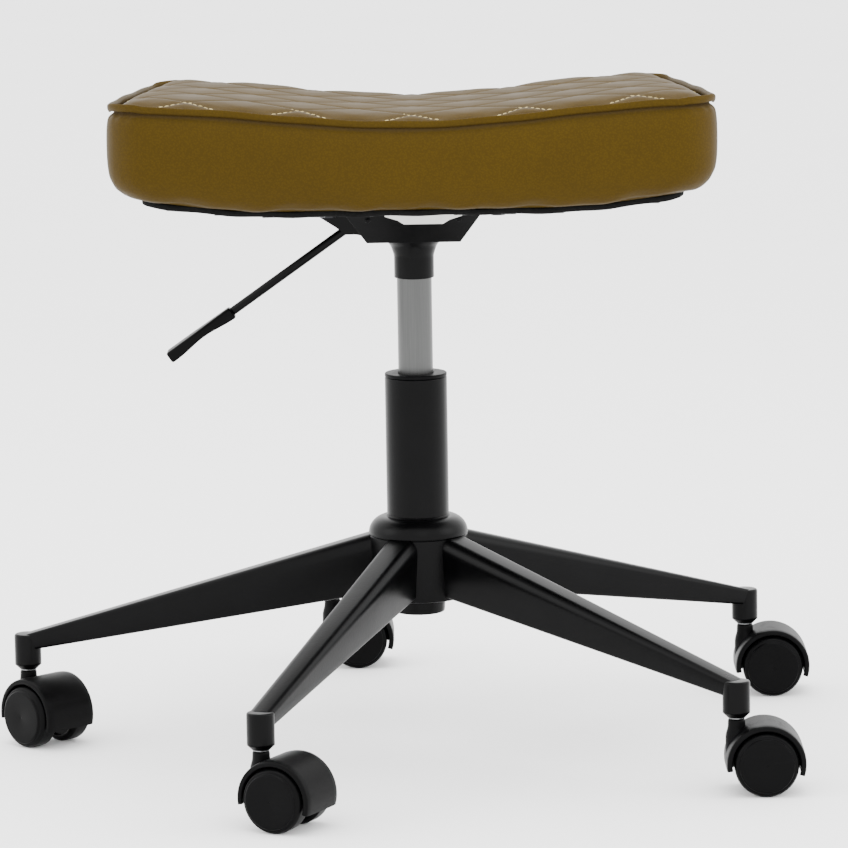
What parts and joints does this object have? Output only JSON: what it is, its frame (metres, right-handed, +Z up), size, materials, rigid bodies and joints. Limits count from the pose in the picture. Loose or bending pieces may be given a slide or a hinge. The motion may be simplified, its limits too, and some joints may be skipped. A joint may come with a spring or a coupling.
{
  "type": "adjustable swivel stool",
  "caption": "Rolling swivel stool with a curved padded seat on a gas lift column, a lift lever and a star base on twin-wheel casters.",
  "frame": {"origin": "on the floor, on the column's axis", "axes": "+Z up along the column, +X along the seat's length to the sitter's side, -Y towards the seat's front edge"},
  "size_m": [0.6682, 0.6809, 0.5411],
  "materials": {
    "black_paint": "gloss",
    "dark_steel": "satin",
    "black_plastic": "satin",
    "wheel_plastic": "satin",
    "bright_steel": "bright",
    "satin_steel": "satin",
    "brass": "satin",
    "rubber": "matte",
    "label": "matte",
    "felt": "matte",
    "plywood": "satin",
    "foam": "matte",
    "side_leather": "satin",
    "top_leather": "satin"
  },
  "bodies": {
    "base": {"hub_shell": "black_paint", "hub_sleeve": "dark_steel", "arm_1": "black_paint", "arm_2": "black_paint", "arm_3": "black_paint", "arm_4": "black_paint", "arm_5": "black_paint", "socket_sleeves": "black_plastic", "caster_stems": "bright_steel", "stem_grip_rings": "bright_steel", "column_tube": "black_paint", "guide_bush": "black_plastic", "lower_thrust_washer": "bright_steel"},
    "spindle": {"piston_rod": "bright_steel", "gas_piston": "rubber", "bearing_cage": "brass", "bearing_balls": "bright_steel", "upper_thrust_washer": "bright_steel", "bump_stop": "rubber", "clip_washer": "bright_steel", "retaining_clip": "dark_steel"},
    "seat": {"gas_cylinder": "satin_steel", "cylinder_gland": "rubber", "taper_socket": "black_paint", "seat_plate": "black_paint", "lever_pin": "bright_steel", "seat_bolts": "dark_steel", "bolt_washers": "bright_steel", "t_nuts": "bright_steel", "blank_label": "label", "dust_cover": "felt", "seat_board": "plywood", "seat_foam": "foam", "seat_band": "side_leather", "seat_top": "top_leather", "seat_welt": "top_leather"},
    "lever": {"lever_rod": "black_paint", "lever_handle": "black_plastic"},
    "button": {"release_button": "bright_steel"},
    "caster_1": {"caster_hood_1": "black_plastic", "caster_axle_1": "bright_steel"},
    "wheel_left_1": {"wheel_left_1": "wheel_plastic"},
    "wheel_right_1": {"wheel_right_1": "wheel_plastic"},
    "caster_2": {"caster_hood_2": "black_plastic", "caster_axle_2": "bright_steel"},
    "wheel_left_2": {"wheel_left_2": "wheel_plastic"},
    "wheel_right_2": {"wheel_right_2": "wheel_plastic"},
    "caster_3": {"caster_hood_3": "black_plastic", "caster_axle_3": "bright_steel"},
    "wheel_left_3": {"wheel_left_3": "wheel_plastic"},
    "wheel_right_3": {"wheel_right_3": "wheel_plastic"},
    "caster_4": {"caster_hood_4": "black_plastic", "caster_axle_4": "bright_steel"},
    "wheel_left_4": {"wheel_left_4": "wheel_plastic"},
    "wheel_right_4": {"wheel_right_4": "wheel_plastic"},
    "caster_5": {"caster_hood_5": "black_plastic", "caster_axle_5": "bright_steel"},
    "wheel_left_5": {"wheel_left_5": "wheel_plastic"},
    "wheel_right_5": {"wheel_right_5": "wheel_plastic"}
  },
  "joints": [
    {"name": "seat_swivel", "type": "hinge", "parent": "base", "child": "spindle", "pos_m": [0, 0, 0.1], "axis": [0, 0, 1], "continuous": true},
    {"name": "seat_lift", "type": "slide", "parent": "spindle", "child": "seat", "axis": [0, 0, 1], "range_m": [-0.07, 0]},
    {"name": "lever_lift", "type": "hinge", "parent": "seat", "child": "lever", "pos_m": [-0.038, -0.00051, 0.42851], "axis": [0, 0.9997, -0.0262], "range_deg": [0, 6]},
    {"name": "button_press", "type": "slide", "parent": "seat", "child": "button", "axis": [0, 0, -1], "range_m": [0, 0.004], "stiffness_N_per_m": 1500},
    {"name": "caster_swivel_1", "type": "hinge", "parent": "base", "child": "caster_1", "pos_m": [0.27255, 0.16767, 0.04], "axis": [0, 0, 1], "continuous": true},
    {"name": "wheel_spin_left_1", "type": "hinge", "parent": "caster_1", "child": "wheel_left_1", "pos_m": [0.29455, 0.16767, 0.025], "axis": [0, 1, 0], "continuous": true},
    {"name": "wheel_spin_right_1", "type": "hinge", "parent": "caster_1", "child": "wheel_right_1", "pos_m": [0.29455, 0.16767, 0.025], "axis": [0, 1, 0], "continuous": true},
    {"name": "caster_swivel_2", "type": "hinge", "parent": "base", "child": "caster_2", "pos_m": [-0.07525, 0.31103, 0.04], "axis": [0, 0, 1], "continuous": true},
    {"name": "wheel_spin_left_2", "type": "hinge", "parent": "caster_2", "child": "wheel_left_2", "pos_m": [-0.05325, 0.31103, 0.025], "axis": [0, 1, 0], "continuous": true},
    {"name": "wheel_spin_right_2", "type": "hinge", "parent": "caster_2", "child": "wheel_right_2", "pos_m": [-0.05325, 0.31103, 0.025], "axis": [0, 1, 0], "continuous": true},
    {"name": "caster_swivel_3", "type": "hinge", "parent": "base", "child": "caster_3", "pos_m": [-0.31906, 0.02455, 0.04], "axis": [0, 0, 1], "continuous": true},
    {"name": "wheel_spin_left_3", "type": "hinge", "parent": "caster_3", "child": "wheel_left_3", "pos_m": [-0.30377, 0.00873, 0.025], "axis": [0.7193, 0.6947, 0], "continuous": true},
    {"name": "wheel_spin_right_3", "type": "hinge", "parent": "caster_3", "child": "wheel_right_3", "pos_m": [-0.30377, 0.00873, 0.025], "axis": [0.7193, 0.6947, 0], "continuous": true},
    {"name": "caster_swivel_4", "type": "hinge", "parent": "base", "child": "caster_4", "pos_m": [-0.12194, -0.29585, 0.04], "axis": [0, 0, 1], "continuous": true},
    {"name": "wheel_spin_left_4", "type": "hinge", "parent": "caster_4", "child": "wheel_left_4", "pos_m": [-0.10252, -0.30618, 0.025], "axis": [0.4695, 0.8829, 0], "continuous": true},
    {"name": "wheel_spin_right_4", "type": "hinge", "parent": "caster_4", "child": "wheel_right_4", "pos_m": [-0.10252, -0.30618, 0.025], "axis": [0.4695, 0.8829, 0], "continuous": true},
    {"name": "caster_swivel_5", "type": "hinge", "parent": "base", "child": "caster_5", "pos_m": [0.24369, -0.2074, 0.04], "axis": [0, 0, 1], "continuous": true},
    {"name": "wheel_spin_left_5", "type": "hinge", "parent": "caster_5", "child": "wheel_left_5", "pos_m": [0.26569, -0.2074, 0.025], "axis": [0, 1, 0], "continuous": true},
    {"name": "wheel_spin_right_5", "type": "hinge", "parent": "caster_5", "child": "wheel_right_5", "pos_m": [0.26569, -0.2074, 0.025], "axis": [0, 1, 0], "continuous": true}
  ],
  "couplings": [
    {"joint": "button_press", "follows": "lever_lift", "m_per_rad": 0.038}
  ]
}
